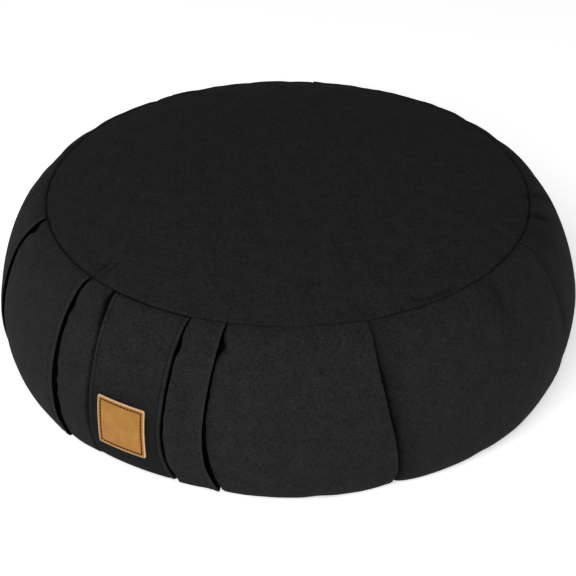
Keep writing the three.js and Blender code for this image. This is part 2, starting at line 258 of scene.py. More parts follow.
def fold_section(fold):
    """Columns across a fold, from the cloth before it, round its edge, back under it and out past it.

    Gives mm past the edge, the same with no overhang, and shares of its forms and painted shade at each
    column.
    """
    round_edge = fold["nose"]
    straight = 1.8 * round_edge

    def rise(past):
        return np.minimum((past + fold["before"]) / (fold["before"] - straight), 1) ** 1.5

    upper = -straight - (fold["before"] - straight) * np.linspace(1, 0, 18) ** 2
    rolled = np.radians([80, 50, 20, -10, -40, -75])
    nose = round_edge * (np.cos(rolled) - 1)
    inside = -SLOT * np.array([0.35, 0.65, 0.9])
    back = -SLOT * np.array([1.0])
    lower = -SLOT * np.array([0.85, 0.5, 0.15])
    far = np.concatenate([[0.2], far_steps(fold["after"])])
    past = np.concatenate([upper, nose, inside, back, lower, far])
    hidden = len(nose) + len(inside) + len(back) + len(lower)
    in_order = np.concatenate([upper, np.linspace(-straight, 0.2, hidden + 2)[1:-1], far])
    none = 0 * np.concatenate([lower, far])
    crease = fold["crease"] * np.exp(-((upper + 4.4) / 0.8) ** 2)
    lift = np.concatenate([rise(upper), np.ones(len(nose)), rise(inside), rise(back) / 2, none])
    layer = 2 * round_edge + 0.1
    turned = round_edge * (1 - np.sin(rolled))
    drop = np.concatenate([crease, turned, layer + 0 * inside, layer / 2 + 0 * back, none])
    spread = 1 / (1 + (far / fold["spread"]) ** 2) * (1 - smooth(far, fold["after"] / 2, fold["after"]))
    under = np.concatenate([0 * upper, 0 * nose, 0 * inside, 0.5 + 0 * back, 1 + 0 * lower, spread])
    soft = np.exp(-far / VALLEY_LENGTH) * (1 - smooth(far, fold["after"] / 2, fold["after"]))
    valley = np.concatenate([0 * upper, 0 * nose, 0 * inside, 0.5 + 0 * back, 1 + 0 * lower, soft])
    # Painted highlight behind and on the edge; painted shade round the nose, in the slot and just past it
    painted_highlight = -PAINTED_EDGE_HIGHLIGHT * np.exp(-((upper + 1) / 0.9) ** 2)
    seen = np.array([-PAINTED_EDGE_HIGHLIGHT, -PAINTED_EDGE_HIGHLIGHT, 0, 0.35, 0.75, 1])
    slot = np.ones(len(inside) + len(back) + len(lower))
    tuck_and_painted_shade = np.concatenate([painted_highlight, seen, slot, np.exp(-(far / PAINTED_SHADE_WIDTH) ** 2)])
    return dict(past=past, in_order=in_order, lift=lift, drop=drop, under=under, valley=valley, tuck_and_painted_shade=tuck_and_painted_shade)


def crown(radius):
    """Level of the top panel at a radius, in mm."""
    return SEAM_HEIGHT + (HEIGHT - SEAM_HEIGHT) * (1 - (radius / SEAM_RADIUS) ** CROWN_POWER)


def swell_cloth():
    """Swells a coarse copy of the cover, held at its seams, folds and strap, in Blender's cloth solver.

    Returns, for rows from the middle of the top to the base's seam and for columns all round, how much
    further out than its neighbours round the cushion each point has come, in mm.
    """
    turns = np.arange(SWELL_COLUMNS) / SWELL_COLUMNS * 360
    insets = np.arange(SWELL_PANEL_ROWS, 0, -1) * SWELL_STEP
    downs = np.linspace(0, SIDE_LENGTH, SWELL_SIDE_ROWS)
    radius = SEAM_RADIUS - insets
    lean = np.arctan(-np.gradient(crown(radius), radius))[:, None]
    angle = np.radians(turns)
    round_about = np.stack([np.cos(angle), np.sin(angle), 0 * angle], -1)
    up = np.array([0, 0, 1])
    top = radius[:, None, None] * round_about + crown(radius)[:, None, None] * up
    start = np.concatenate([top * MM, on_side(turns[None, :], downs[:, None], 0)])
    out_r = np.concatenate([np.sin(lean)[:, 0], np.interp(downs, DOWN, OUT_R)])
    out_z = np.concatenate([np.cos(lean)[:, 0], np.interp(downs, DOWN, OUT_Z)])
    outward = out_r[:, None, None] * round_about + out_z[:, None, None] * up
    places = np.concatenate([-insets, downs])

    held = np.zeros(start.shape[:2])
    held[(places == 0) | (places > FOOT_DOWN) | (places == places[0])] = 1
    side_radius = np.interp(downs, DOWN, RADIUS)
    for line, width in [(fold["line"], 4.0) for fold in FOLDS] + [(STRAP_LINE, STRAP_WIDTH / 2 + 4)]:
        apart = (turns[None, :] - line_at(line, downs)[:, None] + 180) % 360 - 180
        near = np.abs(np.radians(apart)) * side_radius[:, None] < width
        held[len(insets):][near] = 1

    rows, columns = held.shape
    numbers = np.arange(rows * columns).reshape(rows, columns)
    faces = []
    for upper, lower in zip(numbers[:-1], numbers[1:]):
        faces += np.stack([upper, lower, np.roll(lower, -1), np.roll(upper, -1)], -1).tolist()
    mesh = bpy.data.meshes.new("swelling")
    mesh.from_pydata(start.reshape(-1, 3).tolist(), [], faces)
    swelling = bpy.data.objects.new("swelling", mesh)
    bpy.context.collection.objects.link(swelling)
    swelling.vertex_groups.new(name="held").add(np.nonzero(held.ravel())[0].tolist(), 1.0, "REPLACE")
    cloth = swelling.modifiers.new("swelling", "CLOTH")
    cloth.collision_settings.use_collision = False
    settings = cloth.settings
    settings.vertex_group_mass = "held"
    settings.quality = 6
    settings.mass = 0.2
    settings.tension_stiffness = 60
    settings.compression_stiffness = 60
    settings.shear_stiffness = 6
    settings.bending_stiffness = 10
    settings.shrink_min = -SWELL_SPARE_CLOTH
    settings.use_pressure = True
    settings.uniform_pressure_force = SWELL_PRESSURE
    settings.effector_weights.gravity = 0
    for step in range(1, SWELL_STEPS + 1):
        bpy.context.scene.frame_set(step)
    solved = swelling.evaluated_get(bpy.context.evaluated_depsgraph_get()).data
    end = np.empty(rows * columns * 3, np.float32)
    solved.vertices.foreach_get("co", end)
    bpy.context.scene.frame_set(1)
    bpy.data.objects.remove(swelling)
    bpy.data.meshes.remove(mesh)
    moved = ((end.reshape(start.shape) - start) * outward).sum(-1) / MM
    moved = np.clip(moved - moved.mean(1)[:, None], -SWELL_LIMIT, SWELL_LIMIT)
    moved = (np.roll(moved, 1, 1) + 2 * moved + np.roll(moved, -1, 1)) / 4
    return places, moved * smooth(places, -95, -45)[:, None]


SWELL_PLACES, SWELL_MOVED = swell_cloth()


def swell_at(turn, place):
    """How far the cloth has swollen at an azimuth and a place, which is less than 0 on the top panel."""
    turn, place = np.broadcast_arrays(turn, place)
    column = turn / 360 * SWELL_COLUMNS
    row = np.interp(place, SWELL_PLACES, np.arange(len(SWELL_PLACES)))
    i, j = np.floor(row).astype(int), np.floor(column).astype(int)
    total = np.zeros(turn.shape)

    def weights(t):
        return [-t / 2 + t ** 2 - t ** 3 / 2,
                1 - 2.5 * t ** 2 + 1.5 * t ** 3,
                t / 2 + 2 * t ** 2 - 1.5 * t ** 3,
                -t ** 2 / 2 + t ** 3 / 2]

    last = len(SWELL_PLACES) - 1
    for di, wi in zip(range(-1, 3), weights(row - i)):
        for dj, wj in zip(range(-1, 3), weights(column - j)):
            total += wi * wj * SWELL_MOVED[np.clip(i + di, 0, last), (j + dj) % SWELL_COLUMNS]
    return total


def creases_at(turn, place):
    """Depth in mm of the small creases of the cloth, at an azimuth and a place."""
    radius = np.where(place < 0, SEAM_RADIUS + place, np.interp(place, DOWN, RADIUS))
    total = 0 * (turn + place)
    for crease in CREASES:
        lean = math.radians(crease["lean"])
        across = np.radians((turn - crease["azimuth"] + 180) % 360 - 180) * radius
        along = place - crease["place"]
        off = across * math.cos(lean) - along * math.sin(lean)
        on = across * math.sin(lean) + along * math.cos(lean)
        total = total + crease["depth"] * np.exp(-(off / crease["width"]) ** 2 - (on / crease["length"]) ** 2)
    return total


def seam_shade(from_seam):
    """Share of painted shade at mm from a seam, where the cloth dips out of the light."""
    return SEAM_SHADE * np.exp(-(from_seam / SEAM_SHADE_WIDTH) ** 2)


def side_rows():
    """Distances down the side at which it has a row of points, closer together by the seams."""
    clear = SEAM_ROWS[-1] + 1.6
    middle = np.arange(clear, SIDE_LENGTH - clear, ROW_STEP)
    return np.concatenate([SEAM_ROWS, middle, SIDE_LENGTH - SEAM_ROWS[::-1]])


def pleated_side(rows):
    """Azimuth, outward relief and share of painted shade of every column at every row, round the whole side.
    """
    near_seam = np.minimum(rows, SIDE_LENGTH - rows)
    pressed = smooth(rows, FOOT_DOWN - 5, FOOT_DOWN + 3)
    half = STRAP_WIDTH / 2
    row_radius = np.interp(rows, DOWN, RADIUS)
    per_mm = np.degrees(1 / row_radius)
    blocks = []
    for index, fold in enumerate(FOLDS):
        section = fold_section(fold)
        past = section["past"]
        bites = np.maximum(swells(index, rows / 4.5, 16, 4), 0) ** 2
        opening = (SLOT_UNEVEN * swells(index, rows / 9, 16, 3) + SLOT_BITE * bites) * fold["ragged"]
        opening = opening * smooth(rows, 12, 40)
        for at, wider, over in fold["gapes"]:
            opening = opening + wider * np.exp(-((rows - at) / over) ** 2)
        loose = smooth(rows, fold["closed"] * 0.3, fold["closed"]) if fold["closed"] else np.ones(len(rows))
        overhang = smooth(near_seam, 0, 3) * loose * (1 - pressed)
        opening = opening * loose * (1 - pressed)
        moved_on = np.clip(past / 0.8, 0, 1) * (1 - smooth(past, 3, fold["after"]))
        offset = past * overhang[:, None] + section["in_order"] * (1 - overhang[:, None])
        offset = offset + opening[:, None] * moved_on
        edge = line_at(fold["line"], rows)
        wobble = EDGE_WOBBLE * swells(index, rows / 22, 16, 5)
        proud = fold["lift"] * (0.3 + 0.7 * smooth(near_seam, 0, 30))
        proud = proud * (0.6 + 0.4 * smooth(rows, 20, BELLY_DOWN))
        proud = proud * (1 + 0.15 * swells(index, rows / 25, 16, 6)) * (0.3 + 0.7 * loose)
        proud = proud - fold["drawn_in"] * smooth(rows, 92, FOOT_DOWN)
        deep = fold["under"] * (0.15 + 0.85 * loose) * (0.7 + 0.3 * smooth(near_seam, 0, 4))
        deep = deep + 1.4 * np.maximum(opening, 0)
        hollow = fold["valley"] * np.sin(np.pi * rows / SIDE_LENGTH) ** 0.5
        deep = np.maximum(deep, (2 * fold["nose"] + 0.4) * overhang - proud - hollow)
        relief = (proud[:, None] * section["lift"] - overhang[:, None] * section["drop"]
                  - deep[:, None] * section["under"] - hollow[:, None] * section["valley"])
        azimuth = edge[:, None] + (offset + wobble[:, None]) * per_mm[:, None]
        # Painted shade in the slot and the valley past it, less where the fold lies shut, at the foot and by
        # the seam
        in_slot, in_valley = fold["shade"]
        in_slot = in_slot * (0.4 + 0.6 * loose) * (1 - 0.5 * pressed) * smooth(near_seam, 0.5, 4)
        tuck_and_painted_shade = in_slot[:, None] * section["tuck_and_painted_shade"]
        tuck_and_painted_shade = tuck_and_painted_shade + in_valley * hollow[:, None] * section["valley"]
        blocks.append(dict(azimuth=azimuth, relief=relief, tuck_and_painted_shade=np.minimum(tuck_and_painted_shade, 1)))

    bed_depth = STRAP_BED - STRAP_SINK * smooth(rows, BELLY_DOWN, FOOT_DOWN)
    bed = np.linspace(-half + 1.5, half - 1.5, 12)
    left_gap_shade = 0.2 + 0.8 * (1 - smooth(rows, 22, 34))
    sides = []
    for sign, reach, gap in ((-1, STRAP_REACH_LEFT, STRAP_GAP_LEFT), (1, STRAP_REACH_RIGHT, STRAP_GAP_RIGHT)):
        deep = np.maximum(line_at(gap["deep"], rows), bed_depth)
        past = np.concatenate([[-0.6, 0.1, GAP_MIDDLE], far_steps(reach)])
        share = np.concatenate([[0.72, 0.94, 1.0], gap_share(far_steps(reach), reach, gap["width"])])
        opening = 0.3 * swells(20 + sign, rows / 7, 32, 7)
        for at, wider, over in gap["gapes"]:
            opening = opening + wider * np.exp(-((rows - at) / over) ** 2)
        moved_on = np.clip(past / 0.8, 0, 1) * (1 - smooth(past, 2, reach))
        across = sign * (half + past + opening[:, None] * moved_on)
        proud = gap["lift"] * (1 - 0.95 * smooth(rows, 12, 46)) * (0.4 + 0.6 * smooth(near_seam, 0, 6))
        roll = smooth(past, 0.45, 0.95) * (1 - smooth(past, 1.5, reach))
        relief = proud[:, None] * roll - deep[:, None] * share
        # Painted shade in the gap beside each edge of the strap, less in the left gap below its top
        tuck_and_painted_shade = smooth(share, 0.08, 0.45) * (left_gap_shade if sign < 0 else np.ones(len(rows)))[:, None]
        sides.append((across[:, ::sign], relief[:, ::sign], tuck_and_painted_shade[:, ::sign]))
    across = np.concatenate([sides[0][0], np.tile(bed, (len(rows), 1)), sides[1][0]], 1)
    relief = np.concatenate([sides[0][1], np.tile(-bed_depth[:, None], len(bed)), sides[1][1]], 1)
    # Painted shade, full, on the bed under the strap
    tuck_and_painted_shade = np.concatenate([sides[0][2], np.ones((len(rows), len(bed))), sides[1][2]], 1)
    relief = relief * smooth(near_seam, 0, 3.5)[:, None]
    strap_line = line_at(STRAP_LINE, rows)[:, None]
    azimuth = strap_line + across * per_mm[:, None]
    blocks.append(dict(azimuth=azimuth, relief=relief, tuck_and_painted_shade=tuck_and_painted_shade))

    blocks.sort(key=lambda block: block["azimuth"].mean())
    azimuths, reliefs, tucks = [], [], []
    for index, block in enumerate(blocks):
        following = blocks[(index + 1) % len(blocks)]
        turn = 360 if index + 1 == len(blocks) else 0
        start, end = block["azimuth"][:, -1], following["azimuth"][:, 0] + turn
        count = int(np.radians(end - start).max() * BELLY_RADIUS / PLAIN_STEP)
        share = np.arange(1, count + 1) / (count + 1)
        azimuths += [block["azimuth"], start[:, None] + (end - start)[:, None] * share]
        reliefs += [block["relief"], np.zeros((len(rows), count))]
        tucks += [block["tuck_and_painted_shade"], np.zeros((len(rows), count))]
    azimuth, relief, tuck_and_painted_shade = (np.concatenate(parts, 1) for parts in (azimuths, reliefs, tucks))

    upright = np.sin(np.pi * rows / SIDE_LENGTH)[:, None] ** PUFF_SPREAD
    under_strap = np.abs((azimuth - strap_line) / per_mm[:, None]) < half + 1
    puff = np.zeros_like(azimuth)
    starts = [line_at(fold["line"], BELLY_DOWN) for fold in FOLDS]
    for fold, start, end in zip(FOLDS, starts, starts[1:] + starts[:1]):
        across = ((azimuth - start) % 360) / ((end - start) % 360)
        puff += np.where(across < 1, fold["puff"] * np.sin(np.pi * across), 0)
    puff += SETTLED_BY * np.cos(np.radians(azimuth - SETTLED_AZIMUTH))
    turn = azimuth / 360
    down = rows[:, None]
    ease = smooth(near_seam, 0, 14)[:, None]
    puff = puff * upright + SIDE_SWELL * ease * swells(turn * 26, down / 42, 26, 11)
    puff += swell_at(azimuth, down)
    puckers = SIDE_PUCKER * np.exp(-near_seam / 7)[:, None] * swells(turn * 150, down / 12, 150, 13)
    creases = np.where(under_strap, 0, creases_at(azimuth, down))
    relief += np.where(under_strap, 0, puff + puckers) - creases
    # Painted shade in the creases here, and along both seams below
    tuck_and_painted_shade = np.minimum(tuck_and_painted_shade + CREASE_SHADE * np.maximum(creases, 0), 1)
    relief -= SEAM_DEPTH * np.exp(-(near_seam / SEAM_SPREAD) ** 2)[:, None]
    return azimuth, relief, np.minimum(tuck_and_painted_shade + seam_shade(near_seam)[:, None], 1)


def join_rings(upper, lower, upper_turn, lower_turn):
    """Faces between two rings of point numbers, each in order of azimuth."""
    if len(upper) == len(lower):
        after = np.roll(np.arange(len(upper)), -1)
        return np.stack([upper, lower, lower[after], upper[after]], -1).tolist()
    faces = []
    i = j = 0
    upper_turn = np.append(upper_turn, upper_turn[0] + 360)
    lower_turn = np.append(lower_turn, lower_turn[0] + 360)
    while i < len(upper) or j < len(lower):
        step_lower = i == len(upper) or (j < len(lower) and lower_turn[j + 1] <= upper_turn[i + 1])
        a, b = upper[i % len(upper)], lower[j % len(lower)]
        if step_lower:
            j += 1
            faces.append([a, b, lower[j % len(lower)]])
        else:
            i += 1
            if len(upper) > 1:
                faces.append([a, b, upper[i % len(upper)]])
    return faces


def cushion_mesh():
    """Rings of points from the middle of the top, down the side, to the middle of the base, and faces."""
    rows = side_rows()
    azimuth, relief, side_tucked = pleated_side(rows)
    side = on_side(azimuth, rows[:, None], relief)
    along = np.radians(azimuth) * BELLY_RADIUS * MM
    rings, turns, cloth, tuck_and_painted_shade = [], [], [], []

    def panel_ring(inset, level, seam_row, direction):
        """A ring of a flat panel near its seam, with the seam's dip and puckers dying out inwards."""
        turn = np.maximum.accumulate(azimuth[seam_row])
        radius = SEAM_RADIUS - inset
        seam_dip = side[seam_row, :, 2] / MM - (SEAM_HEIGHT - SEAM_DEPTH if direction > 0 else SEAM_DEPTH)
        height = level(radius) - direction * SEAM_DEPTH * np.exp(-(inset / SEAM_SPREAD) ** 2)
        height = height + seam_dip * np.exp(-(inset / 1.2) ** 2)
        if direction > 0:
            height = height + swell_at(turn, -inset) - creases_at(turn, -inset)
        pucker = swells(turn / 360 * 110, inset / 16, 110, 21) * PANEL_PUCKER * np.exp(-inset / 9)
        height = np.maximum(height + direction * pucker * (1 - np.exp(-inset)), 0)
        angle = np.radians(turn)
        points = np.stack([radius * np.cos(angle), radius * np.sin(angle), height], -1) * MM
        # Painted shade along the seam and in the creases of the panel
        return points, turn, seam_shade(inset) + CREASE_SHADE * np.maximum(creases_at(turn, -inset), 0)

    def even_ring(radius, count, level):
        turn = azimuth[0, 0] + 360 * np.arange(count) / count
        angle = np.radians(turn)
        height = np.broadcast_to(level(radius), turn.shape)
        if radius and level is crown:
            height = height + swell_at(turn, radius - SEAM_RADIUS)
        return np.stack([radius * np.cos(angle), radius * np.sin(angle), height], -1) * MM, turn, 0 * turn

    def add(points, turn, cloth_points, shade):
        rings.append(points)
        turns.append(turn)
        cloth.append(cloth_points)
        tuck_and_painted_shade.append(shade)

    def add_panel(level, seam_row, direction):
        made = [panel_ring(inset, level, seam_row, direction) for inset in PANEL_INSETS]
        made += [even_ring(radius, count, level) for radius, count in PANEL_RINGS]
        for points, turn, shade in made[::-1] if direction > 0 else made:
            add(points, turn, points * [1, 1, 0], shade)

    add_panel(crown, 0, 1)
    for row, points in enumerate(side):
        on_cloth = np.stack([along[row], np.full(len(points), rows[row] * MM), 0 * along[row]], -1)
        add(points, azimuth[row], on_cloth, side_tucked[row])
    add_panel(lambda radius: 0.0, -1, -1)

    first = np.concatenate([[0], np.cumsum([len(ring) for ring in rings])])
    numbers = [np.arange(first[k], first[k + 1]) for k in range(len(rings))]
    faces = []
    for k in range(len(rings) - 1):
        faces += join_rings(numbers[k], numbers[k + 1], turns[k], turns[k + 1])
    return np.concatenate(rings), faces, np.concatenate(cloth), np.concatenate(tuck_and_painted_shade)


def add_piece(name, points, faces, cloth=None, tuck_and_painted_shade=None):
    """A smooth-shaded mesh, which keeps each point's place on the flat cloth and how much shade is painted on
    it.

    A share less than 0 is a painted highlight, on the edges of folds and of the strap.
    """
    mesh = bpy.data.meshes.new(name)
    mesh.from_pydata(np.asarray(points).tolist(), [], faces)
    mesh.shade_smooth()
    if cloth is not None:
        kept = mesh.attributes.new("cloth", "FLOAT_VECTOR", "POINT")
        kept.data.foreach_set("vector", np.asarray(cloth, np.float32).ravel())
    if tuck_and_painted_shade is not None:
        kept = mesh.attributes.new("tuck_and_painted_shade", "FLOAT", "POINT")
        kept.data.foreach_set("value", np.asarray(tuck_and_painted_shade, np.float32))
    piece = bpy.data.objects.new(name, mesh)
    bpy.context.collection.objects.link(piece)
    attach(piece, "root")
    return piece


def new_finish(name):
    """A material with its shader, and a function that adds a node and links its inputs."""
    finish = bpy.data.materials.new(name)
    finish.use_nodes = True
    tree = finish.node_tree
    shader = tree.nodes["Principled BSDF"]

    def add_node(kind, links=None, **settings):
        made = tree.nodes.new(kind)
        for key, value in settings.items():
            setattr(made, key, value)
        for socket, value in (links or {}).items():
            if isinstance(value, bpy.types.NodeSocket):
                tree.links.new(value, made.inputs[socket])
            else:
                made.inputs[socket].default_value = value
        return made

    return finish, tree, shader, add_node


def black_cotton(name):
    """Matte black plain weave: fine crossing yarns, slubs, uneven dye, painted shade, painted edge
    highlights.
    """
    yarn = 0.8 * MM
    dark, light = (0.006, 0.006, 0.006, 1), (0.025, 0.025, 0.025, 1)
    unlit, painted_highlight_and_gloss = (0.0012, 0.0012, 0.0012, 1), (0.06, 0.06, 0.06, 1)
    finish, tree, shader, add_node = new_finish(name)
    place = add_node("ShaderNodeAttribute", attribute_name="cloth")
    tuck_and_painted_shade = add_node("ShaderNodeAttribute", attribute_name="tuck_and_painted_shade").outputs["Fac"]
    split = add_node("ShaderNodeSeparateXYZ", {0: place.outputs["Vector"]})

    def ridge(axis):
        turn = add_node("ShaderNodeMath", {0: split.outputs[axis], 1: math.pi / yarn}, operation="MULTIPLY")
        wave = add_node("ShaderNodeMath", {0: turn.outputs[0]}, operation="SINE")
        return add_node("ShaderNodeMath", {0: wave.outputs[0]}, operation="ABSOLUTE").outputs[0]

    def slub(across, along):
        scaled = add_node("ShaderNodeVectorMath", {0: place.outputs["Vector"], 1: (across, along, 1)},
                          operation="MULTIPLY")
        return add_node("ShaderNodeTexNoise", {"Vector": scaled.outputs[0], "Scale": 1.0, "Detail": 2.0,
                                               "Roughness": 0.6}).outputs[0]

    knots = add_node("ShaderNodeMath", {0: ridge("X"), 1: ridge("Y")}, operation="MULTIPLY").outputs[0]
    warp, weft = slub(1300, 280), slub(280, 1300)
    yarns = add_node("ShaderNodeMath", {0: warp, 1: weft}, operation="ADD").outputs[0]
    dye = add_node("ShaderNodeTexNoise", {"Vector": place.outputs["Vector"], "Scale": 90.0,
                                          "Detail": 2.0}).outputs[0]
    tone = add_node("ShaderNodeMath", {0: dye, 1: 0.35, 2: yarns}, operation="MULTIPLY_ADD").outputs[0]
    spread = add_node("ShaderNodeMapRange", {"Value": tone, "From Min": 0.8, "From Max": 1.55}).outputs[0]
    colour = add_node("ShaderNodeMix", {"Factor": spread, 6: dark, 7: light}, data_type="RGBA")
    raised = add_node("ShaderNodeMath", {0: knots, 1: 0.5, 2: yarns}, operation="MULTIPLY_ADD").outputs[0]
    bump = add_node("ShaderNodeBump", {"Strength": 0.5, "Distance": 0.35 * MM, "Height": raised})
    # Painted highlight where the shade attribute is below 0, and painted shade towards unlit black above 0
    painted_highlight = add_node("ShaderNodeMath", {0: tuck_and_painted_shade, 1: -1.0}, operation="MULTIPLY").outputs[0]
    lighter = add_node("ShaderNodeMix", {"Factor": painted_highlight, 6: colour.outputs[2], 7: painted_highlight_and_gloss}, data_type="RGBA")
    shaded = add_node("ShaderNodeMix", {"Factor": tuck_and_painted_shade, 6: lighter.outputs[2], 7: unlit}, data_type="RGBA")
    tree.links.new(shaded.outputs[2], shader.inputs["Base Color"])
    tree.links.new(bump.outputs[0], shader.inputs["Normal"])
    shader.inputs["Roughness"].default_value = 0.95
    shader.inputs["Specular IOR Level"].default_value = 0.05
    return finish


cotton = black_cotton("black_cotton")
cover = add_piece("cushion_cover", *cushion_mesh())
cover.data.materials.append(cotton)
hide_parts("cushion")

# Carry strap: a flat band of the same cotton, folded double with its edges stitched down, sewn into the
# top and base seams at the front. It lies close on the side, and its right edge stands off it a little.
STRAP_EDGE_STITCH = 3.0
STRAP_STITCH_PRESS = 0.6
STRAP_EDGE_LIFT = 0.9
STRAP_SOFT = 0.35
STRAP_END = 0.4
STRAP_ROW_STEP = 1.5
STRAP_PLAIN_SHADE = 0.05
STRAP_SHADE = 0.3


def strap_face(down):
    """How far out the strap's face lies: just inside the round of the side, and drawn into the top seam."""
    near_seam = np.minimum(down, SIDE_LENGTH - down)
    flush = STRAP_SINK * smooth(down, BELLY_DOWN, FOOT_DOWN)
    tuck_and_painted_shade = 0.6 * (1 - smooth(near_seam, 0, 3)) * (down < BELLY_DOWN)
    return (flush - STRAP_SINK) * (0.3 + 0.7 * smooth(down, 0, 18)) - tuck_and_painted_shade


def strap_relief(across, down):
    """Small forms on the strap's face: pressed stitch lines, a soft middle and a right edge that lifts."""
    half = STRAP_WIDTH / 2
    from_edge = half - np.abs(across)
    pressed = STRAP_STITCH_PRESS * np.exp(-((from_edge - STRAP_EDGE_STITCH) / 0.7) ** 2)
    upright = np.sin(np.pi * np.clip(down / SIDE_LENGTH, 0, 1))
    lifted = STRAP_EDGE_LIFT * smooth(across, half - 12, half) * upright
    lifted = lifted * (1 - smooth(down, BELLY_DOWN, FOOT_DOWN))
    soft = STRAP_SOFT * swells(across / 16 + 8, down / 30, 16, 31) * upright * smooth(from_edge, 3, 8)
    return lifted + soft * (down < FOOT_DOWN - 8) - pressed


def on_strap(across, down, outward):
    radius = np.interp(down, DOWN, RADIUS)
    return on_side(line_at(STRAP_LINE, down) + np.degrees(across / radius), down, strap_face(down) + outward)


def strap_mesh():
    half, round_edge = STRAP_WIDTH / 2, STRAP_THICKNESS / 2 - 0.1
    rows = np.arange(STRAP_ROW_STEP, SIDE_LENGTH - 2, STRAP_ROW_STEP)
    rows = np.concatenate([[STRAP_END], rows, [SIDE_LENGTH - STRAP_END]])
    by_edge = np.arange(-half + round_edge, -half + 6, 0.6)
    flat = np.concatenate([by_edge, np.linspace(-half + 6.5, half - 6.5, 24), by_edge[::-1] * -1])
    bend = np.radians(np.linspace(75, -75, 7))
    right = half - round_edge + round_edge * np.cos(bend), round_edge * (np.sin(bend) - 1)
    back = np.linspace(half - round_edge, -half + round_edge, 16)
    across = np.concatenate([flat, right[0], back, -right[0][::-1]])
    below = np.concatenate([0 * flat, right[1], 0 * back - 2 * round_edge, right[1][::-1]])
    on_top = np.concatenate([np.ones(len(flat)), np.ones(len(bend)), np.zeros(len(back)), np.ones(len(bend))])
    loop = len(across)
    relief = strap_relief(across[None, :], rows[:, None]) * on_top + below
    points = on_strap(across[None, :], rows[:, None], relief)
    cloth = np.stack([np.tile(across, (len(rows), 1)), np.tile(rows[:, None], loop), 0 * relief], -1) * MM
    numbers = np.arange(len(rows) * loop).reshape(len(rows), loop)
    faces = []
    for upper, lower in zip(numbers[:-1], numbers[1:]):
        faces += np.stack([upper, lower, np.roll(lower, -1), np.roll(upper, -1)], -1).tolist()
    faces += [numbers[0].tolist(), numbers[-1][::-1].tolist()]
    from_edge = half - np.abs(across)
    # Painted shade: a little on the face, more on its lower half, none on the hem; painted highlight on the
    # hem's edge
    tuck_and_painted_shade = STRAP_PLAIN_SHADE + STRAP_SHADE * smooth(rows, BELLY_DOWN - 40, BELLY_DOWN - 5)[:, None]
    tuck_and_painted_shade = tuck_and_painted_shade * smooth(from_edge, 1.6, 3.4) - PAINTED_EDGE_HIGHLIGHT * np.exp(-((from_edge - 1.1) / 0.9) ** 2) * on_top
    return points.reshape(-1, 3), faces, cloth.reshape(-1, 3) + [0.5, 0.5, 0], tuck_and_painted_shade.ravel()


strap = add_piece("strap_cloth", *strap_mesh())
strap.data.materials.append(cotton)
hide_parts("carry_strap")

# Edge stitching of the strap: black cotton thread, one row along each long edge, each stitch pulled down
# at both ends into the pressed line that it makes.
STRAP_STITCH_PITCH = 3.2
STRAP_STITCH_LENGTH = 2.5
STRAP_THREAD = 0.5


def stitch_mesh(centres, along, out, length, thread):
    """Short arched lengths of thread, one for each centre, lying along a way and standing out in another."""
    steps = np.linspace(-1, 1, 7)
    ring = np.arange(6) / 6 * 2 * np.pi
    points, faces = [], []
    for centre, way, up in zip(centres, along, out):
        way = way / np.linalg.norm(way)
        up = up - way * (up @ way)
        up = up / np.linalg.norm(up)
        side = np.cross(way, up)
        base = len(points)
        for step in steps:
            thick = thread / 2 * math.sqrt(max(1 - abs(step) ** 4, 0.06))
            middle = centre + way * step * length / 2 + up * thread * (0.35 - 0.75 * step ** 4)
            for turn in ring:
                points.append(middle + thick * (side * math.cos(turn) + up * math.sin(turn)))
        for k in range(len(steps) - 1):
            for m in range(6):
                a, b = base + k * 6 + m, base + k * 6 + (m + 1) % 6
                faces.append([a, b, b + 6, a + 6])
        last = base + (len(steps) - 1) * 6
        faces += [[base + m for m in range(5, -1, -1)], [last + m for m in range(6)]]
    return np.array(points), faces


def thread_finish(name, colour):
    """Matte sewing thread: its fibres show as fine unevenness of tone and height."""
    finish, tree, shader, add_node = new_finish(name)
    place = add_node("ShaderNodeTexCoord").outputs["Object"]
    fibres = add_node("ShaderNodeTexNoise", {"Vector": place, "Scale": 2600.0, "Detail": 1.0})
    bump = add_node("ShaderNodeBump", {"Strength": 0.4, "Distance": 0.1 * MM, "Height": fibres.outputs[0]})
    dark, light = (*[c * 0.7 for c in colour], 1), (*[c * 1.3 for c in colour], 1)
    tone = add_node("ShaderNodeMix", {"Factor": fibres.outputs[0], 6: dark, 7: light}, data_type="RGBA")
    tree.links.new(tone.outputs[2], shader.inputs["Base Color"])
    tree.links.new(bump.outputs[0], shader.inputs["Normal"])
    shader.inputs["Roughness"].default_value = 0.85
    shader.inputs["Specular IOR Level"].default_value = 0.05
    return finish


def strap_stitches():
    downs = np.arange(4, FOOT_DOWN + 6, STRAP_STITCH_PITCH)
    across = STRAP_WIDTH / 2 - STRAP_EDGE_STITCH
    centres, along, out = [], [], []
    for side in (-across, across):
        level = strap_relief(side, downs)
        here = on_strap(side, downs, level)
        centres += list(here)
        along += list(on_strap(side, downs + 0.5, level) - on_strap(side, downs - 0.5, level))
        out += list(on_strap(side, downs, level + 1) - here)
    return stitch_mesh(centres, along, out, STRAP_STITCH_LENGTH * MM, STRAP_THREAD * MM)


strap_thread = add_piece("strap_stitches", *strap_stitches())
strap_thread.data.materials.append(thread_finish("black_thread", (0.008, 0.008, 0.008)))

# Patch: a square of tan leather with rounded corners and a pale cut edge, sewn on the strap at the belly
# along a line pressed just inside its edge. Its face is bare.
PATCH_AZIMUTH = -90.0
PATCH_SIZE = 37.0
PATCH_THICKNESS = 1.6
PATCH_CORNER = 1.2
PATCH_BELOW_BELLY = 3.0
PATCH_STITCH_INSET = 2.4
PATCH_LINE_DEPTH = 0.36
PATCH_COLUMNS = 112
PATCH_LIFT = 0.3


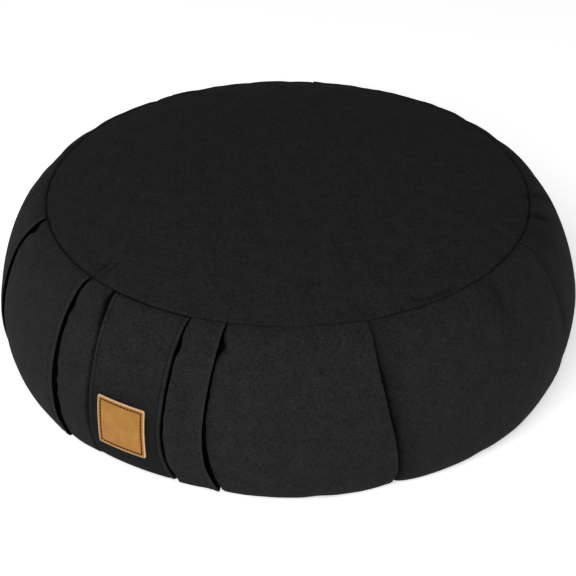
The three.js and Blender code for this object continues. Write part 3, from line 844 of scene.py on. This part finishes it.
def rounded_square(half, corner, count):
    """Points round a square with rounded corners, anticlockwise seen from outside, evenly spaced."""
    corner = min(corner, half)
    straight = 2 * (half - corner)
    arc = corner * math.pi / 2
    at = np.arange(count) / count * 4 * (straight + arc)
    side, rest = np.divmod(at, straight + arc)
    bend = np.clip((rest - straight) / max(corner, 1e-6), 0, None)
    x = -half + corner + np.minimum(rest, straight) + corner * np.sin(bend)
    y = -half + corner - corner * np.cos(bend)
    turn = side * math.pi / 2
    return x * np.cos(turn) - y * np.sin(turn), x * np.sin(turn) + y * np.cos(turn)


def on_patch(right, up, outward):
    """Points on the patch, from its middle, lying on the strap's face."""
    down = BELLY_DOWN + PATCH_BELOW_BELLY - up
    radius = np.interp(down, DOWN, RADIUS)
    strap_across = right + np.radians(PATCH_AZIMUTH - line_at(STRAP_LINE, down)) * radius
    return on_strap(strap_across, down, PATCH_LIFT + PATCH_THICKNESS + outward)


def patch_mesh():
    """Rings from the middle of the patch's face, over its edge, to the middle of its back.

    The third number of a point's flat place is 1 on the cut edge, and -1 in the pressed line.
    """
    half = PATCH_SIZE / 2
    line = half - PATCH_STITCH_INSET
    rings = [(3.5, 0), (7, 0), (10, 0), (13, 0), (line - 1.4, 0), (line - 0.7, -0.12), (line - 0.3, -0.3),
             (line, -PATCH_LINE_DEPTH), (line + 0.3, -0.3), (line + 0.7, -0.1), (line + 1.2, 0),
             (half - 0.7, 0), (half - 0.2, -0.05), (half - 0.03, -0.2), (half, -0.4),
             (half, -PATCH_THICKNESS + 0.3),
             (half - 0.3, -PATCH_THICKNESS), (10, -PATCH_THICKNESS), (3.5, -PATCH_THICKNESS)]
    points = [on_patch(np.zeros(1), np.zeros(1), 0)]
    flat = [np.zeros((1, 3))]
    for size, level in rings:
        right, up = rounded_square(size, PATCH_CORNER * size / half, PATCH_COLUMNS)
        points.append(on_patch(right, up, level))
        cut = smooth(size, half - 0.75, half - 0.2) - math.exp(-((size - line) / 0.5) ** 2)
        flat.append(np.stack([right, up, np.full(PATCH_COLUMNS, cut) / MM], -1) * MM)
    points.append(on_patch(np.zeros(1), np.zeros(1), -PATCH_THICKNESS))
    flat.append(np.zeros((1, 3)))
    first = np.concatenate([[0], np.cumsum([len(ring) for ring in points])])
    numbers = [np.arange(first[k], first[k + 1]) for k in range(len(points))]
    faces = []
    for k in range(1, len(points) - 2):
        inner, outer = numbers[k], numbers[k + 1]
        faces += np.stack([inner, outer, np.roll(outer, -1), np.roll(inner, -1)], -1).tolist()
    for pole, ring, flip in ((numbers[0][0], numbers[1], False), (numbers[-1][0], numbers[-2], True)):
        for a, b in zip(ring, np.roll(ring, -1)):
            faces.append([int(pole), int(b), int(a)] if flip else [int(pole), int(a), int(b)])
    return np.concatenate(points), faces, np.concatenate(flat)


def tan_leather(name):
    """Smooth tan leather: fine grain, cloudy colour, a paler cut edge and a darker pressed line."""
    pale, deep = (0.385, 0.18, 0.038, 1), (0.305, 0.136, 0.025, 1)
    raw, pressed = (0.72, 0.5, 0.32, 1), (0.13, 0.045, 0.009, 1)
    finish, tree, shader, add_node = new_finish(name)
    place = add_node("ShaderNodeAttribute", attribute_name="cloth")
    flat = place.outputs["Vector"]
    cut = add_node("ShaderNodeSeparateXYZ", {0: flat}).outputs["Z"]
    clouds = add_node("ShaderNodeTexNoise", {"Vector": flat, "Scale": 110.0, "Detail": 4.0})
    spread = add_node("ShaderNodeMapRange", {"Value": clouds.outputs[0], "From Min": 0.3, "From Max": 0.7})
    face = add_node("ShaderNodeMix", {"Factor": spread.outputs[0], 6: deep, 7: pale}, data_type="RGBA")
    edge = add_node("ShaderNodeMix", {"Factor": cut, 6: face.outputs[2], 7: raw}, data_type="RGBA")
    line = add_node("ShaderNodeMath", {0: cut, 1: -1.0}, operation="MULTIPLY").outputs[0]
    colour = add_node("ShaderNodeMix", {"Factor": line, 6: edge.outputs[2], 7: pressed}, data_type="RGBA")
    grain = add_node("ShaderNodeTexVoronoi", {"Vector": flat, "Scale": 1500.0})
    fine = add_node("ShaderNodeTexNoise", {"Vector": flat, "Scale": 3200.0, "Detail": 2.0})
    raised = add_node("ShaderNodeMath", {0: grain.outputs["Distance"], 1: fine.outputs[0]}, operation="ADD")
    bump = add_node("ShaderNodeBump", {"Strength": 0.3, "Distance": 0.12 * MM, "Height": raised.outputs[0]})
    painted_highlight_and_gloss = add_node("ShaderNodeMapRange", {"Value": clouds.outputs[0], "To Min": 0.45, "To Max": 0.65})
    tree.links.new(colour.outputs[2], shader.inputs["Base Color"])
    tree.links.new(bump.outputs[0], shader.inputs["Normal"])
    tree.links.new(painted_highlight_and_gloss.outputs[0], shader.inputs["Roughness"])
    shader.inputs["Specular IOR Level"].default_value = 0.15
    return finish


patch = add_piece("patch_leather", *patch_mesh())
patch.data.materials.append(tan_leather("tan_leather"))
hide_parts("patch")

# Patch stitching: dark brown thread, one row of short stitches all round the patch. They go through the
# leather and the strap, and lie in the pressed line inside the patch's edge.
PATCH_STITCH_COUNT = 48
PATCH_STITCH_LENGTH = 2.0
PATCH_THREAD = 0.8


def patch_stitches():
    half = PATCH_SIZE / 2 - PATCH_STITCH_INSET
    corner = PATCH_CORNER * half / (PATCH_SIZE / 2)
    fine = PATCH_STITCH_COUNT * 8
    right, up = rounded_square(half, corner, fine)
    level = -PATCH_LINE_DEPTH
    centres, along, out = [], [], []
    for k in range(4, fine, 8):
        here = on_patch(right[k], up[k], level)
        before, after = k - 1, (k + 1) % fine
        centres.append(here)
        along.append(on_patch(right[after], up[after], level) - on_patch(right[before], up[before], level))
        out.append(on_patch(right[k], up[k], level + 1) - here)
    return stitch_mesh(centres, along, out, PATCH_STITCH_LENGTH * MM, PATCH_THREAD * MM)


patch_thread = add_piece("patch_stitches", *patch_stitches())
patch_thread.data.materials.append(thread_finish("brown_thread", (0.03, 0.009, 0.002)))

# Studio floor: a wide flat board painted matte white, with nothing on it. It is lit a little from within, so
# that it stays as pale as a studio's paper ground, and lies just under the cushion's base.
FLOOR_SIZE = 12.0
FLOOR_DROP = 0.3 * MM
floor_mesh = bpy.data.meshes.new("floor")
reach = FLOOR_SIZE / 2
floor_corners = [(x * reach, y * reach, -FLOOR_DROP) for x, y in ((-1, -1), (1, -1), (1, 1), (-1, 1))]
floor_mesh.from_pydata(floor_corners, [], [(0, 1, 2, 3)])
floor = bpy.data.objects.new("floor", floor_mesh)
bpy.context.collection.objects.link(floor)
floor_paint, _, floor_shader, _ = new_finish("floor_paint")
floor_shader.inputs["Base Color"].default_value = (0.9, 0.9, 0.9, 1)
floor_shader.inputs["Roughness"].default_value = 0.9
floor_shader.inputs["Emission Color"].default_value = (1, 1, 1, 1)
floor_shader.inputs["Emission Strength"].default_value = 0.5
floor.data.materials.append(floor_paint)

# Studio light: an even pale room and three broad soft lamps. The strongest stands high in front, a lower one
# fills the left side and a weak one the right, so the dark cloth keeps its form with no hard shadow.
world = bpy.data.worlds.new("studio")
world.use_nodes = True
world.node_tree.nodes["Background"].inputs["Color"].default_value = (1, 1, 1, 1)
world.node_tree.nodes["Background"].inputs["Strength"].default_value = 0.18
bpy.context.scene.world = world
bpy.context.scene.view_settings.view_transform = "Standard"
MIDDLE = Vector((0, 0, 0.06))
CAMERA_AZIMUTH = 32.6
CAMERA_ELEVATION = 32.75


def from_middle(azimuth, elevation, distance):
    """A place round the object: azimuth 0 is in front of the strap, and it grows to the right."""
    turn, rise = math.radians(azimuth), math.radians(elevation)
    level = math.cos(rise)
    return Vector((math.sin(turn) * level, -math.cos(turn) * level, math.sin(rise))) * distance


def soft_light(name, azimuth, elevation, distance, size, power):
    lamp = bpy.data.lights.new(name, "AREA")
    lamp.size = size
    lamp.energy = power
    holder = bpy.data.objects.new(name, lamp)
    holder.location = MIDDLE + from_middle(azimuth, elevation, distance)
    holder.rotation_euler = (MIDDLE - holder.location).to_track_quat("-Z", "Y").to_euler()
    bpy.context.collection.objects.link(holder)


soft_light("key", CAMERA_AZIMUTH - 20, elevation=42, distance=2.2, size=1.4, power=34)
soft_light("left", CAMERA_AZIMUTH - 95, elevation=8, distance=2.2, size=1.2, power=15)
soft_light("right", CAMERA_AZIMUTH + 66, elevation=30, distance=2.2, size=1.4, power=9)

# Camera: a long lens without roll or shift, at the photograph's angle. Its place and lens are those that
# fit the cushion's outline and its top seam.
CAMERA_DISTANCE = 1.5
CAMERA_LENS = 131.25
CAMERA_AIM = Vector((0, 0, 0.0351))
camera_data = bpy.data.cameras.new("camera")
camera_data.sensor_width = 36
camera_data.lens = CAMERA_LENS
camera = bpy.data.objects.new("camera", camera_data)
camera.location = CAMERA_AIM + from_middle(CAMERA_AZIMUTH, CAMERA_ELEVATION, CAMERA_DISTANCE)
camera.rotation_euler = (CAMERA_AIM - camera.location).to_track_quat("-Z", "Y").to_euler()
bpy.context.collection.objects.link(camera)
bpy.context.scene.camera = camera
